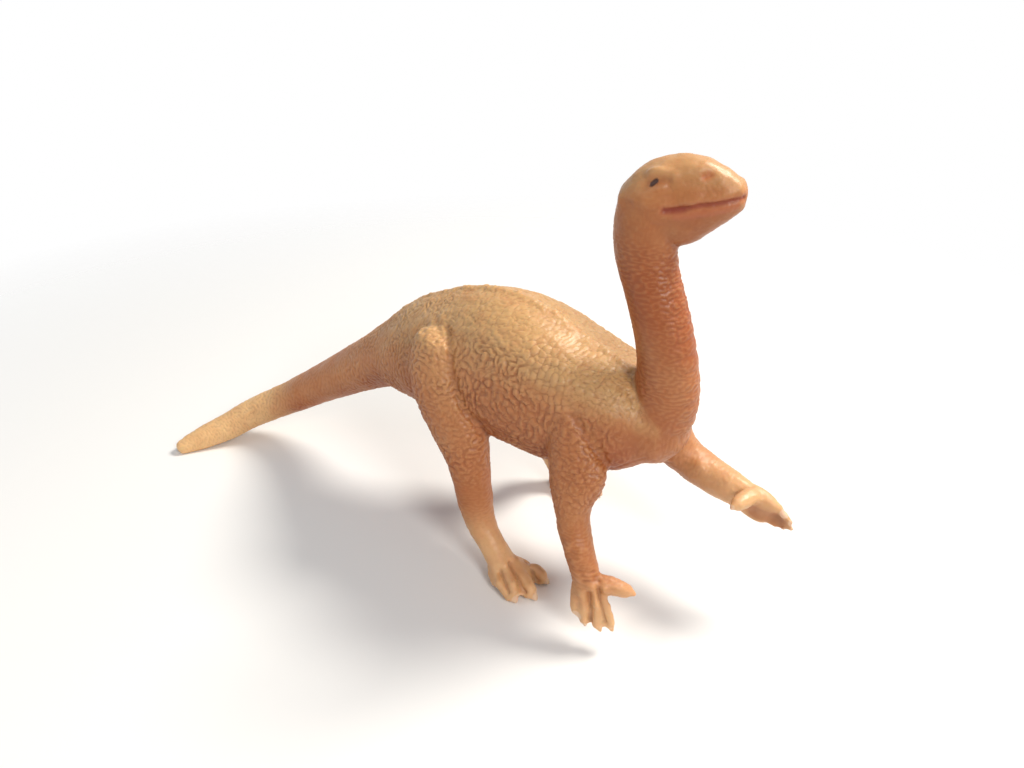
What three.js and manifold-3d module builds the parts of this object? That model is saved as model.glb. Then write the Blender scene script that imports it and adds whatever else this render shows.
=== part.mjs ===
// Toy dinosaur figure: a long-necked plant eater standing on its hind legs.
// Solid moulded pieces, each with an oval peg glued into a socket of the trunk.
// Millimetres, +Z up, +X towards the head, +Y the figure's left side.

import * as THREE from 'three';
import { mergeVertices } from 'three/addons/utils/BufferGeometryUtils.js';
import Module from 'manifold-3d';

const wasm = await Module();
wasm.setup();

// Sizes of the whole figure

const backHeight = 72.5;        // floor to the top of the back
const jointGap = 0.3;           // clearance round every glued piece
const overrun = 400;            // reach of a cutting block past the figure

// Torso

const torsoLength = 86;         // tail seam to the front of the chest
const torsoDepth = 37.2;
const torsoWidth = 34;
const torsoBack = -46;          // tail seam, measured from the middle of the stance
const spineRidge = 1.2;         // height of the ridge along the back
const torsoWaistShare = 0.46;   // level of the greatest width, above the belly
const chestRound = 8;           // length of the rounded front end

// each row: along the torso, top over the floor, depth, width, and how square the back is
const torsoStationShares = [
  [0.000, 0.768, 0.560, 0.600, 1.90],
  [0.128, 0.871, 0.765, 0.780, 1.90],
  [0.244, 0.935, 0.880, 0.890, 1.90],
  [0.360, 0.984, 0.962, 0.960, 2.10],
  [0.453, 0.993, 0.995, 1.000, 2.40],
  [0.547, 0.958, 0.940, 1.000, 2.80],
  [0.651, 0.908, 0.845, 0.950, 3.20],
  [0.760, 0.878, 0.745, 0.865, 3.50],
  [0.850, 0.846, 0.615, 0.760, 3.40],
  [0.907, 0.798, 0.430, 0.580, 3.00],
];

// Tail

const tailLength = 73.6;        // straight back from the tail seam
const tailSwing = 35;           // how far the tip curls to the right
const tailRootHeight = 46.9;
const tailRootWidth = 22;

// each row: back from the seam, swing to the right, height, thickness
const tailStationShares = [
  [0.070, 0.000, 0.915, 0.790],
  [0.214, 0.000, 0.775, 0.680],
  [0.335, 0.015, 0.660, 0.610],
  [0.456, 0.050, 0.543, 0.550],
  [0.574, 0.110, 0.427, 0.500],
  [0.697, 0.200, 0.312, 0.455],
  [0.806, 0.350, 0.220, 0.425],
  [0.890, 0.560, 0.124, 0.390],
  [0.955, 0.790, 0.070, 0.325],
  [0.990, 0.960, 0.038, 0.200],
];
const tailTipRound = 1.6;

// Neck, listed from the head down

const neckHeight = 98;          // floor to the top of the neck
const neckReach = 33.4;         // forward of the middle of the stance
const neckThickness = 12.8;

// each row: forward, height, fore and aft thickness, sideways thickness
const neckStationShares = [
  [0.800, 1.065, 0.700, 0.700],
  [0.755, 1.020, 0.980, 0.880],
  [0.756, 0.970, 1.075, 0.920],
  [0.775, 0.915, 1.030, 0.910],
  [0.830, 0.860, 0.965, 0.915],
  [0.898, 0.800, 0.980, 0.935],
  [0.960, 0.735, 1.000, 0.955],
  [1.003, 0.668, 1.060, 1.010],
  [1.008, 0.600, 1.190, 1.140],
  [0.950, 0.540, 1.340, 1.350],
  [0.850, 0.500, 1.180, 1.380],
];
const neckSeamForward = 34;     // a point on the seam between neck and trunk
const neckSeamHeight = 56.5;
const neckSeamLean = 42;        // degrees the seam leans down to the front

// Head, in its own frame: +X towards the snout, zero over the top of the neck

const headLength = 25.8;
const headDepth = 15.6;
const headWidth = 11.6;
const skullBehind = 6.3;        // skull behind the neck's centre line
const headForward = 25.2;       // centre of the skull, ahead of the middle of the stance
const headYaw = 15;             // degrees turned to the left
const headPitch = 9;            // degrees the snout is raised
const headCentreHeight = 102;   // floor to the centre line of the skull

// each row: along the head, above the centre line, below it, width
const headStationShares = [
  [0.070, 0.220, 0.330, 0.700],
  [0.160, 0.345, 0.480, 0.900],
  [0.270, 0.445, 0.590, 1.000],
  [0.400, 0.507, 0.650, 1.000],
  [0.530, 0.515, 0.645, 0.950],
  [0.650, 0.472, 0.560, 0.880],
  [0.760, 0.395, 0.445, 0.780],
  [0.860, 0.290, 0.340, 0.680],
  [0.930, 0.180, 0.265, 0.560],
];
const skullRound = 1.6;
const snoutRound = 1.5;
const mouthGroove = 0.55;       // height of the groove between the lips
const mouthDepth = 0.6;
const mouthDrop = 1.4;          // below the head's centre line
const mouthBackShare = 0.44;    // back corner of the mouth along the head
const eyeRadius = 1.15;
const eyeSocketRadius = 1.7;
const eyeAlongShare = 0.37;
const eyeUpShare = 0.27;
const eyeOutShare = 0.425;
const browRadius = 1.1;
const browStretch = 2.2;        // length of the brow over its thickness
const nostrilRadius = 0.55;
const nostrilAlongShare = 0.86;
const nostrilUpShare = 0.2;
const nostrilOutShare = 0.3;

// Hind legs

const hipBack = 22;             // hip behind the middle of the stance
const hipHeight = 52;
const hipSpread = 13.2;         // from the middle plane
const thighTop = 10.5;          // thigh above the hip
const rightKneeAhead = 9;       // ahead of the hip
const leftKneeAhead = 11.5;
const kneeHeight = 33.5;
const kneeSpread = 14.6;
const rightAnkleAhead = 14.4;
const leftAnkleAhead = 10.5;
const ankleHeight = 13.6;
const ankleSpread = 15.8;
const rightBallAhead = 23.6;    // ball of the foot, ahead of the hip
const leftBallAhead = 15.2;
const ballHeight = 4;
const ballSpread = 17.7;
const leftSplay = 7.4;          // left foot further out than the right one
const thighWidth = 19;
const thighThickness = 14;
const hipPlane = 8.5;           // inner face of the thigh, from the middle plane

// each row: down the leg, in front of its line, behind it, thickness
const legStationShares = [
  [0.020, 0.330, 0.320, 0.620],
  [0.120, 0.430, 0.400, 0.900],
  [0.240, 0.480, 0.408, 1.000],
  [0.350, 0.480, 0.378, 0.980],
  [0.440, 0.400, 0.322, 0.900],
  [0.520, 0.315, 0.260, 0.820],
  [0.610, 0.278, 0.232, 0.750],
  [0.710, 0.252, 0.228, 0.690],
  [0.800, 0.206, 0.212, 0.570],
  [0.900, 0.175, 0.178, 0.480],
  [0.990, 0.180, 0.180, 0.560],
];

const footLength = 10.5;        // back of the sole to the roots of the toes
const footWidth = 12.2;
const footDepth = 6.4;
const heelBehind = 3.4;         // back of the sole behind the ball of the foot
const rightFootTurn = 3;        // degrees the right foot turns outwards
const leftFootTurn = 0;
const toeWidth = 5;
const clawWidth = 3.4;
const toeRootShare = 0.44;      // root of a toe above the sole, over the depth of the foot

// each row: along the foot, height of its line, depth, width
const footStationShares = [
  [0.060, 0.420, 0.800, 0.520],
  [0.260, 0.480, 1.050, 0.720],
  [0.480, 0.430, 0.980, 0.860],
  [0.720, 0.370, 0.800, 0.900],
  [0.900, 0.300, 0.600, 0.820],
];

// each row: root along and out from the middle of the foot, then the tip, then the width
const toeShares = [
  [0.42, 0.24, 1.17, 0.48, 0.98],
  [0.55, 0.03, 1.50, 0.15, 1.00],
  [0.52, -0.20, 1.40, -0.40, 0.92],
  [0.15, 0.22, 0.50, 0.41, 0.56],
  [0.35, -0.26, 0.74, -0.48, 0.70],
];

// Arms: every point is forward, out from the middle plane, and up

const shoulder = [17.5, 11.5, 50.5];
const rightElbow = [21.6, 17.6, 31.6];
const rightWrist = [28.2, 21.4, 17.6];
const rightKnuckles = [30.6, 22.4, 10.2];
const leftElbow = [35.5, 14.6, 34.3];
const leftWrist = [49, 13.2, 31];
const leftKnuckles = [58, 12.8, 28.6];
const leftArmBulk = 1.22;       // the arm that reaches forward is the stouter one
const shoulderTop = 5;          // upper arm above the shoulder
const upperArmWidth = 14.6;
const upperArmThickness = 10.8;
const shoulderPlane = 6.4;      // inner face of the arm, from the middle plane

// each row: down the arm, in front of its line, behind it, thickness
const armStationShares = [
  [0.020, 0.330, 0.330, 0.620],
  [0.120, 0.450, 0.450, 0.900],
  [0.240, 0.520, 0.430, 1.000],
  [0.360, 0.605, 0.390, 0.970],
  [0.460, 0.515, 0.355, 0.920],
  [0.540, 0.345, 0.305, 0.820],
  [0.620, 0.255, 0.280, 0.740],
  [0.710, 0.240, 0.275, 0.720],
  [0.810, 0.235, 0.260, 0.680],
  [0.910, 0.230, 0.235, 0.580],
  [0.990, 0.220, 0.230, 0.460],
];

const palmWidth = 8.8;
const palmDepth = 5.4;
const fingerWidth = 3;
const fingerLength = 6.6;       // past the knuckles
const thumbWidth = 4.2;
const thumbLength = 10;
const knuckleShare = 0.8;       // spread of the finger roots over that of the knuckles

// each row: along the palm, width, depth
const palmStationShares = [
  [0.060, 0.720, 0.960],
  [0.400, 0.960, 1.020],
  [0.750, 1.000, 0.940],
  [0.980, 0.860, 0.780],
];

// each row: across the palm, length, how far it fans out
const rightFingerShares = [
  [-0.33, 0.35, -0.14],
  [-0.15, 0.80, -0.10],
  [0.12, 1.00, 0.04],
  [0.37, 0.95, 0.14],
];
const leftFingerShares = [
  [-0.30, 0.72, 0.06],
  [-0.10, 1.00, 0.02],
  [0.12, 0.86, -0.02],
  [0.27, 0.45, -0.06],
];
const rightThumbShare = 0.15;   // thumb root along the palm
const leftThumbShare = 0.5;

// directions, forward, to the left and up
const rightThumbSide = [1, 0.25, 0];
const leftThumbSide = [0, 0.1, 1];
const rightThumbReach = [0.86, 0.42, -0.25];
const leftThumbReach = [-0.28, -0.95, 0.05];

// Pegs

const pegOvalShare = 1.35;      // long side of a peg over its short side
const pegRoot = 1.5;            // how far a peg starts inside its own piece
const hipPeg = 2.9;
const hipPegLength = 4.6;
const armPeg = 2;
const armPegLength = 3.4;
const neckPeg = 3;
const neckPegLength = 6.5;
const tailPeg = 3.8;
const tailPegLength = 8;

// How finely the surfaces are cut

const trunkSides = 24;
const headSides = 20;
const legSides = 16;
const armSides = 14;
const toeSides = 8;
const pegSides = 12;
const rowSteps = 2;
const roundShares = [0.36, 0.72];
const smallRoundShares = [0.6];
const smoothing = 0.05;         // largest step that may be left out of a surface
const armRootRows = 3;          // rows of the arm that lie against the trunk

const degrees = Math.PI / 180;
const vec = (x, y, z) => new THREE.Vector3(x, y, z);

// A closed surface through sections that stand square to a path. Each station
// holds its place and how far the skin lies to the side, above and below.
function loft(stations, sides, options = {}) {
  const { startRound = 0, endRound = 0, sideAxis = null, ridge = 0, fullness = 2, grow = 0 } = options;
  const { steps = rowSteps, capShares = roundShares } = options;
  const rows = smoothRows(stations, steps);
  const rings = rows.map((row, i) => {
    const before = rows[Math.max(i - 1, 0)].at;
    const after = rows[Math.min(i + 1, rows.length - 1)].at;
    const ahead = after.clone().sub(before).normalize();
    return { ...row, ...frameAlong(ahead, sideAxis) };
  });
  const first = rings[0];
  const last = rings[rings.length - 1];
  const start = roundEnd(first, -1, startRound + grow, capShares).reverse();
  const end = roundEnd(last, 1, endRound + grow, capShares);
  const all = [...start, ...rings, ...end];
  const points = [];
  for (const ring of all) {
    for (let k = 0; k < sides; k++) {
      points.push(skinPoint(ring, (k / sides) * 2 * Math.PI, ridge, fullness, grow));
    }
  }
  points.push(first.at.clone().addScaledVector(first.ahead, -(startRound + grow)));
  points.push(last.at.clone().addScaledVector(last.ahead, endRound + grow));
  return solidFrom(points, all.length, sides);
}

function frameAlong(ahead, sideAxis) {
  const side = sideAxis ? sideAxis.clone() : new THREE.Vector3().crossVectors(vec(0, 0, 1), ahead);
  side.addScaledVector(ahead, -side.dot(ahead)).normalize();
  const up = new THREE.Vector3().crossVectors(ahead, side);
  return { ahead, side, up };
}

// One point of a section. A ring's crown sets how square the back is where there is a ridge
function skinPoint(ring, angle, ridge, fullness, grow) {
  const c = Math.cos(angle);
  const s = Math.sin(angle);
  const power = 2 / (s > 0 && ridge > 0 ? ring.crown : fullness);
  const out = Math.sign(c) * Math.abs(c) ** power * (ring.wide + grow);
  const reach = s > 0 ? ring.above : ring.below;
  const crest = ridge * ring.fade * Math.max(s, 0) ** 24;
  const rise = Math.sign(s) * Math.abs(s) ** power * (reach + grow) + crest;
  return ring.at.clone().addScaledVector(ring.side, out).addScaledVector(ring.up, rise);
}

// Rings that close an end as part of an ellipsoid
function roundEnd(ring, direction, length, capShares) {
  return capShares.map((share) => {
    const turn = (share * Math.PI) / 2;
    const shrink = Math.cos(turn);
    return {
      ...ring,
      at: ring.at.clone().addScaledVector(ring.ahead, direction * length * Math.sin(turn)),
      wide: ring.wide * shrink,
      above: ring.above * shrink,
      below: ring.below * shrink,
      fade: ring.fade * shrink,
    };
  });
}

function smoothRows(stations, steps) {
  const channels = stations.map((s) => {
    const { at, fade = 1, crown = 2 } = s;
    return [at.x, at.y, at.z, s.wide, s.above, s.below, fade, crown];
  });
  const pick = (i) => channels[Math.min(Math.max(i, 0), channels.length - 1)];
  const rows = [];
  for (let i = 0; i < channels.length - 1; i++) {
    for (let step = 0; step < steps; step++) {
      rows.push(blend(pick(i - 1), pick(i), pick(i + 1), pick(i + 2), step / steps));
    }
  }
  rows.push(channels[channels.length - 1]);
  return rows.map(([x, y, z, wide, above, below, fade, crown]) => (
    { at: vec(x, y, z), wide, above, below, fade, crown }
  ));
}

// Catmull-Rom blend of four rows of numbers
function blend(a, b, c, d, t) {
  return b.map((value, k) => {
    const slopeIn = (c[k] - a[k]) / 2;
    const slopeOut = (d[k] - b[k]) / 2;
    const t2 = t * t;
    const t3 = t2 * t;
    return (2 * t3 - 3 * t2 + 1) * value + (t3 - 2 * t2 + t) * slopeIn
      + (3 * t2 - 2 * t3) * c[k] + (t3 - t2) * slopeOut;
  });
}

function solidFrom(points, ringCount, sides) {
  const index = [];
  for (let i = 0; i < ringCount - 1; i++) {
    for (let k = 0; k < sides; k++) {
      const next = (k + 1) % sides;
      const a = i * sides + k;
      const b = i * sides + next;
      index.push(a, b, b + sides, a, b + sides, a + sides);
    }
  }
  const startPole = points.length - 2;
  const endPole = points.length - 1;
  const lastRing = (ringCount - 1) * sides;
  for (let k = 0; k < sides; k++) {
    const next = (k + 1) % sides;
    index.push(startPole, next, k);
    index.push(endPole, lastRing + k, lastRing + next);
  }
  const geometry = new THREE.BufferGeometry();
  geometry.setAttribute('position', new THREE.Float32BufferAttribute(points.flatMap((p) => p.toArray()), 3));
  geometry.setIndex(index);
  return toSolid(geometry);
}

function toSolid(geometry) {
  const bare = geometry.clone();
  bare.deleteAttribute('normal');
  bare.deleteAttribute('uv');
  const merged = mergeVertices(bare);
  return new wasm.Manifold(new wasm.Mesh({
    numProp: 3,
    vertProperties: new Float32Array(merged.attributes.position.array),
    triVerts: new Uint32Array(merged.index.array),
  }));
}

function toGeometry(solid) {
  const mesh = solid.getMesh();
  const geometry = new THREE.BufferGeometry();
  geometry.setAttribute('position', new THREE.Float32BufferAttribute(mesh.vertProperties, 3));
  geometry.setIndex(Array.from(mesh.triVerts));
  return geometry;
}

const joined = (solids) => solids.reduce((whole, piece) => whole.add(piece));

// A block that holds everything on one side of a plane
function sideOf(point, direction) {
  const block = new THREE.BoxGeometry(overrun, overrun, overrun);
  const turn = new THREE.Quaternion().setFromUnitVectors(vec(0, 0, 1), direction.clone().normalize());
  block.translate(0, 0, overrun / 2);
  block.applyQuaternion(turn);
  block.translate(point.x, point.y, point.z);
  return toSolid(block);
}

// A ball, stretched along the head by a factor
function ball(radius, at, stretch = 1) {
  const geometry = new THREE.SphereGeometry(radius, pegSides, toeSides);
  geometry.scale(stretch, 1, 1);
  geometry.applyQuaternion(headTurn);
  geometry.translate(at.x, at.y, at.z);
  return toSolid(geometry);
}

// An oval peg that stands out from a face, rooted a little way behind it
function peg(radius, length, at, direction, clearance) {
  const size = radius + clearance;
  const geometry = new THREE.CylinderGeometry(size, size, length + pegRoot + clearance, pegSides);
  geometry.scale(pegOvalShare, 1, 1);
  const turn = new THREE.Quaternion().setFromUnitVectors(vec(0, 1, 0), direction);
  geometry.applyQuaternion(turn);
  const middle = at.clone().addScaledVector(direction, (length + clearance - pegRoot) / 2);
  geometry.translate(middle.x, middle.y, middle.z);
  return toSolid(geometry);
}

// A row of stations along a smooth path through a few points
function alongPath(points, rowShares, width, thickness) {
  const path = new THREE.CatmullRomCurve3(points, false, 'centripetal');
  return rowShares.map(([along, front, back, thick]) => ({
    at: path.getPointAt(along),
    wide: (thick * thickness) / 2,
    above: front * width,
    below: back * width,
  }));
}

// Trunk: one skin from the tip of the tail to the chest, parted at the tail seam

function trunkStations() {
  const tail = tailStationShares.map(([back, swing, height, thick]) => ({
    at: vec(torsoBack - back * tailLength, -swing * tailSwing, height * tailRootHeight),
    wide: (thick * tailRootWidth) / 2,
    above: (thick * tailRootWidth) / 2,
    below: (thick * tailRootWidth) / 2,
    fade: thick / 2,
  })).reverse();
  const torso = torsoStationShares.map(([along, top, depth, width, crown]) => {
    const tall = depth * torsoDepth;
    const below = torsoWaistShare * tall;
    const above = tall - below;
    return {
      at: vec(torsoBack + along * torsoLength, 0, top * backHeight - above),
      wide: (width * torsoWidth) / 2,
      above,
      below,
      crown,
    };
  });
  return [...tail, ...torso];
}

const trunk = loft(trunkStations(), trunkSides, {
  startRound: tailTipRound,
  endRound: chestRound,
  ridge: spineRidge,
  fullness: 2.3,
});

const tailSeam = vec(torsoBack, 0, tailRootHeight);
const backwards = vec(-1, 0, 0);
const forwards = vec(1, 0, 0);
const floorCut = sideOf(vec(0, 0, 0), vec(0, 0, -1));

function makeTail() {
  const seam = tailSeam.clone().addScaledVector(backwards, jointGap);
  const body = trunk.intersect(sideOf(seam, backwards)).subtract(floorCut);
  return body.add(peg(tailPeg, tailPegLength + jointGap, seam, forwards, 0));
}

// Neck and head

const headCentre = vec(headForward, 0, headCentreHeight);
const headTurn = new THREE.Quaternion().setFromEuler(
  new THREE.Euler(0, -headPitch * degrees, headYaw * degrees, 'ZYX'),
);
const onHead = (along, across, up) => vec(along, across, up).applyQuaternion(headTurn).add(headCentre);
const headAlong = (share) => share * headLength - skullBehind;

function neckSkin() {
  const stations = neckStationShares.map(([forward, height, fore, wide]) => ({
    at: vec(forward * neckReach, 0, height * neckHeight),
    wide: (wide * neckThickness) / 2,
    above: (fore * neckThickness) / 2,
    below: (fore * neckThickness) / 2,
  }));
  const endRound = neckThickness / 4;
  return loft(stations, headSides, { sideAxis: vec(0, 1, 0), startRound: endRound, endRound });
}

function headSkin(grow) {
  const stations = headStationShares.map(([along, above, below, width]) => ({
    at: onHead(headAlong(along), 0, 0),
    wide: (width * headWidth) / 2,
    above: above * headDepth,
    below: below * headDepth,
  }));
  return loft(stations, headSides, {
    sideAxis: vec(0, 1, 0).applyQuaternion(headTurn),
    startRound: skullRound,
    endRound: snoutRound,
    fullness: 2.2,
    grow,
  });
}

function makeHead() {
  let head = headSkin(0);
  const back = headAlong(mouthBackShare);
  const slab = new THREE.BoxGeometry(headLength, headWidth * 2, mouthGroove);
  slab.translate(back + headLength / 2, 0, -mouthDrop);
  slab.applyQuaternion(headTurn);
  slab.translate(headCentre.x, headCentre.y, headCentre.z);
  head = head.subtract(toSolid(slab).subtract(headSkin(-mouthDepth)));
  for (const side of [-1, 1]) {
    const eye = onHead(headAlong(eyeAlongShare), side * eyeOutShare * headWidth, eyeUpShare * headDepth);
    const browOut = side * (eyeOutShare * headWidth - browRadius / 2);
    const brow = onHead(headAlong(eyeAlongShare), browOut, eyeUpShare * headDepth + eyeSocketRadius);
    head = head.add(ball(browRadius, brow, browStretch));
    const outwards = vec(0, side, 0).applyQuaternion(headTurn);
    const socket = eye.clone().addScaledVector(outwards, eyeSocketRadius / 2);
    head = head.subtract(ball(eyeSocketRadius, socket));
    head = head.add(ball(eyeRadius, eye));
    const nostrilOut = side * nostrilOutShare * headWidth;
    const nostril = onHead(headAlong(nostrilAlongShare), nostrilOut, nostrilUpShare * headDepth);
    head = head.subtract(ball(nostrilRadius, nostril));
  }
  return head;
}

const neckSeam = vec(neckSeamForward, 0, neckSeamHeight);
const neckUp = vec(Math.sin(neckSeamLean * degrees), 0, Math.cos(neckSeamLean * degrees));
const neckDown = neckUp.clone().negate();

function makeNeckAndHead() {
  const seam = neckSeam.clone().addScaledVector(neckUp, jointGap);
  const body = neckSkin().add(makeHead()).intersect(sideOf(seam, neckUp));
  return body.add(peg(neckPeg, neckPegLength + jointGap, seam, neckDown, 0));
}

// Hind legs

function legPoints(side) {
  const splay = side > 0 ? leftSplay : 0;
  const kneeAhead = side > 0 ? leftKneeAhead : rightKneeAhead;
  const ankleAhead = side > 0 ? leftAnkleAhead : rightAnkleAhead;
  const ballAhead = side > 0 ? leftBallAhead : rightBallAhead;
  const knee = side * (kneeSpread + splay / 2);
  const ankle = side * (ankleSpread + splay);
  return [
    vec(-hipBack, side * hipSpread, hipHeight + thighTop),
    vec(-hipBack, side * hipSpread, hipHeight),
    vec(kneeAhead - hipBack, knee, kneeHeight),
    vec(ankleAhead - hipBack, ankle, ankleHeight),
    vec(ballAhead - hipBack, side * (ballSpread + splay), ballHeight),
  ];
}

function footFrame(side) {
  const ball = legPoints(side)[4];
  const turn = side * (side > 0 ? leftFootTurn : rightFootTurn) * degrees;
  const ahead = vec(Math.cos(turn), Math.sin(turn), 0);
  const across = vec(-Math.sin(turn), Math.cos(turn), 0).multiplyScalar(side);
  return (along, out, up) => vec(ball.x, ball.y, 0)
    .addScaledVector(ahead, along - heelBehind)
    .addScaledVector(across, out)
    .addScaledVector(vec(0, 0, 1), up);
}

// A toe or finger with its claw, from root to tip
function digit(root, tip, width, bend) {
  const middle = root.clone().lerp(tip, 0.5).addScaledVector(vec(0, 0, 1), bend);
  const rowShares = [
    [0.02, 0.50, 0.50, 0.96],
    [0.35, 0.52, 0.50, 1.00],
    [0.60, 0.46, 0.46, 0.94],
    [0.80, 0.40, 0.40, 0.82],
  ];
  const clawShares = [
    [0.62, 0.50, 0.50, 1.00],
    [0.84, 0.40, 0.38, 0.82],
    [0.97, 0.20, 0.20, 0.44],
  ];
  const line = [root, middle, tip];
  const clawSize = width * (clawWidth / toeWidth);
  const flesh = loft(alongPath(line, rowShares, width, width), toeSides, {
    startRound: width / 4,
    endRound: width / 6,
    steps: 1,
    capShares: smallRoundShares,
  });
  const claw = loft(alongPath(line, clawShares, clawSize, clawSize), toeSides, {
    startRound: clawSize / 4,
    endRound: clawSize / 6,
    steps: 1,
    capShares: smallRoundShares,
  });
  return flesh.add(claw);
}

function makeFoot(side) {
  const place = footFrame(side);
  const stations = footStationShares.map(([along, height, depth, width]) => ({
    at: place(along * footLength, 0, height * footDepth),
    wide: (width * footWidth) / 2,
    above: (depth * footDepth) / 2,
    below: (depth * footDepth) / 2,
  }));
  const sole = loft(stations, legSides, {
    startRound: heelBehind / 3,
    endRound: toeWidth / 2,
    fullness: 2.3,
  });
  const toes = toeShares.map(([rootAlong, rootOut, tipAlong, tipOut, size]) => {
    const width = size * toeWidth;
    const root = place(rootAlong * footLength, rootOut * footWidth, footDepth * toeRootShare);
    const tip = place(tipAlong * footLength, tipOut * footWidth, clawWidth / 4);
    return digit(root, tip, width, width / 8);
  });
  return joined([sole, ...toes]);
}

function legSkin(side, grow) {
  const stations = alongPath(legPoints(side), legStationShares, thighWidth, thighThickness);
  const endRound = thighWidth / 8;
  return loft(stations, legSides, { sideAxis: vec(0, 1, 0), startRound: endRound, endRound, grow });
}

const sidewards = (side) => vec(0, side, 0);
const hipFace = (side) => vec(-hipBack, side * hipPlane, hipHeight);

function makeLeg(side) {
  const outer = sideOf(hipFace(side), sidewards(side));
  const body = legSkin(side, 0).intersect(outer).add(makeFoot(side)).subtract(floorCut);
  return body.add(peg(hipPeg, hipPegLength, hipFace(side), sidewards(-side), 0));
}

// Arms

const placeOn = (side) => ([forward, out, up]) => vec(forward, side * out, up);

function handPoints(side) {
  const place = placeOn(side);
  const wrist = place(side > 0 ? leftWrist : rightWrist);
  const knuckles = place(side > 0 ? leftKnuckles : rightKnuckles);
  const ahead = knuckles.clone().sub(wrist);
  const palmLength = ahead.length();
  return { wrist, knuckles, palmLength, ahead: ahead.normalize() };
}

function armPoints(side) {
  const place = placeOn(side);
  const { wrist, ahead, palmLength } = handPoints(side);
  return [
    place(shoulder).add(vec(0, 0, shoulderTop)),
    place(shoulder),
    place(side > 0 ? leftElbow : rightElbow),
    wrist,
    wrist.clone().addScaledVector(ahead, palmLength / 3),
  ];
}

function armSkin(side, grow) {
  const bulk = side > 0 ? leftArmBulk : 1;
  const stations = alongPath(armPoints(side), armStationShares, upperArmWidth, upperArmThickness);
  for (const station of stations.slice(armRootRows)) {
    station.wide *= bulk;
    station.above *= bulk;
    station.below *= bulk;
  }
  const sideAxis = vec(0, 1, 0);
  return loft(stations, armSides, { sideAxis, startRound: upperArmWidth / 8, endRound: palmDepth / 4, grow });
}

// The back of the hand faces outwards. The fingers start on that side of the
// palm, and the thumb stands across it.
function makeHand(side) {
  const { wrist, ahead, palmLength } = handPoints(side);
  const flat = side > 0 ? leftThumbSide : rightThumbSide;
  const across = vec(...flat);
  across.addScaledVector(ahead, -across.dot(ahead)).normalize();
  const place = (along, out) => wrist.clone().addScaledVector(ahead, along).addScaledVector(across, out);
  const stations = palmStationShares.map(([along, width, depth]) => ({
    at: place(along * palmLength, 0),
    wide: (width * palmWidth) / 2,
    above: (depth * palmDepth) / 2,
    below: (depth * palmDepth) / 2,
  }));
  const outwards = vec(0, side, 0);
  const palm = loft(stations, armSides, {
    sideAxis: across,
    startRound: palmDepth / 4,
    endRound: fingerWidth / 2,
  });
  const fingerShares = side > 0 ? leftFingerShares : rightFingerShares;
  const fingers = fingerShares.map(([out, length, fan]) => {
    const root = place(palmLength / 2, out * palmWidth * knuckleShare)
      .addScaledVector(outwards, (palmDepth - fingerWidth) / 2);
    const tip = place(palmLength + length * fingerLength, (out + fan) * palmWidth);
    return digit(root, tip, fingerWidth, 0);
  });
  const thumbShare = side > 0 ? leftThumbShare : rightThumbShare;
  const thumbRoot = place(thumbShare * palmLength, palmWidth / 4);
  const reach = vec(...(side > 0 ? leftThumbReach : rightThumbReach)).normalize();
  const thumbTip = thumbRoot.clone().addScaledVector(reach, thumbLength);
  return joined([palm, ...fingers, digit(thumbRoot, thumbTip, thumbWidth, thumbWidth / 8)]);
}

const shoulderFace = (side) => vec(shoulder[0], side * shoulderPlane, shoulder[2]);

function makeArm(side) {
  const outer = sideOf(shoulderFace(side), sidewards(side));
  const body = armSkin(side, 0).intersect(outer).add(makeHand(side)).subtract(floorCut);
  return body.add(peg(armPeg, armPegLength, shoulderFace(side), sidewards(-side), 0));
}

// Torso: the trunk's front with the base of the neck, less what sits in it

function makeTorso() {
  let torso = trunk.intersect(sideOf(tailSeam, forwards));
  torso = torso.add(neckSkin());
  torso = torso.intersect(sideOf(neckSeam, neckDown));
  torso = torso.subtract(peg(tailPeg, tailPegLength + jointGap, tailSeam, forwards, jointGap));
  torso = torso.subtract(peg(neckPeg, neckPegLength + jointGap, neckSeam, neckDown, jointGap));
  for (const side of [-1, 1]) {
    const hip = hipFace(side).addScaledVector(sidewards(side), -jointGap);
    torso = torso.subtract(legSkin(side, jointGap).intersect(sideOf(hip, sidewards(side))));
    torso = torso.subtract(peg(hipPeg, hipPegLength, hipFace(side), sidewards(-side), jointGap));
    const arm = shoulderFace(side).addScaledVector(sidewards(side), -jointGap);
    torso = torso.subtract(armSkin(side, jointGap).intersect(sideOf(arm, sidewards(side))));
    torso = torso.subtract(peg(armPeg, armPegLength, shoulderFace(side), sidewards(-side), jointGap));
  }
  return torso;
}

// Assembly

const skinColour = { torso: 0xc6996a, neck: 0xb9763f, tail: 0xcf9a5c, limb: 0xc08250 };

function piece(name, solid, colour) {
  const material = new THREE.MeshStandardMaterial({ color: colour, roughness: 0.48, metalness: 0 });
  const mesh = new THREE.Mesh(toGeometry(solid.simplify(smoothing)), material);
  mesh.name = name;
  return mesh;
}

const figure = new THREE.Group();
figure.add(piece('torso', makeTorso(), skinColour.torso));
figure.add(piece('neck_and_head', makeNeckAndHead(), skinColour.neck));
figure.add(piece('tail', makeTail(), skinColour.tail));
figure.add(piece('right_leg', makeLeg(-1), skinColour.limb));
figure.add(piece('left_leg', makeLeg(1), skinColour.limb));
figure.add(piece('right_arm', makeArm(-1), skinColour.limb));
figure.add(piece('left_arm', makeArm(1), skinColour.limb));

// The origin is moved to the middle of the box that holds the figure, on the floor

const box = new THREE.Box3().setFromObject(figure);
const middle = box.getCenter(vec(0, 0, 0));
figure.position.set(-middle.x, -middle.y, -box.min.z);

export default figure;
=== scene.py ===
import math

import bmesh
import bpy
import numpy as np
from mathutils import Matrix, Vector
from mathutils.bvhtree import BVHTree


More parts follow.
